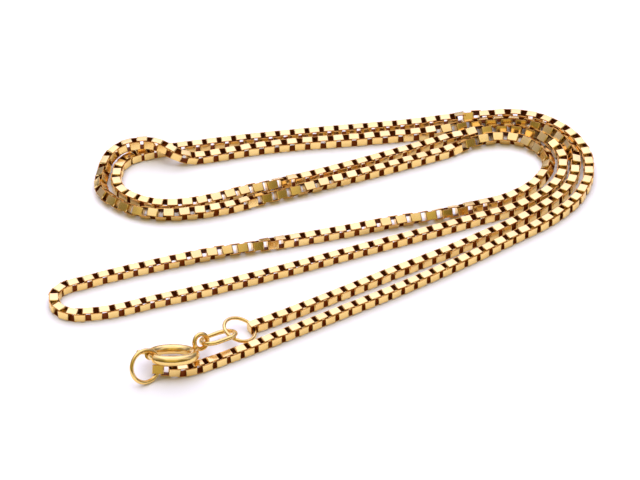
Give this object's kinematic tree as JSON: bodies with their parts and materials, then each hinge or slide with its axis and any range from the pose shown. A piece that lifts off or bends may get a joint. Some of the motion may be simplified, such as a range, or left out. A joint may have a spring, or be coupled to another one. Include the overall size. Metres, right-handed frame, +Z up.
{
  "type": "box chain necklace",
  "caption": "Fine yellow gold box chain necklace with a spring ring clasp, fastened and lying in folded loops.",
  "frame": {"origin": "middle of the folded necklace's bounding box, on the surface that it lies on", "axes": "+X along the folded bundle towards its wide turn, +Y from the clasp's side to the far side, +Z up"},
  "size_m": [0.0734, 0.0558, 0.0044],
  "materials": {
    "chain_gold": "polished",
    "clasp_gold": "polished"
  },
  "bodies": {
    "necklace": {"chain_front": "chain_gold", "chain_rear": "chain_gold", "end_link_a": "chain_gold", "end_link_b": "chain_gold", "end_ring": "clasp_gold", "connector_ring": "clasp_gold", "jump_ring": "clasp_gold", "spring_ring_case": "clasp_gold"},
    "bolt": {"spring_ring_bolt": "clasp_gold"}
  },
  "joints": [
    {"name": "bolt_slide", "type": "hinge", "parent": "necklace", "child": "bolt", "pos_m": [-0.01995, -0.02454, 0.00233], "axis": [0, -0.4509, -0.8926], "range_deg": [0, 41], "stiffness_Nm_per_rad": 0.0008, "springref_deg": -11.46}
  ]
}
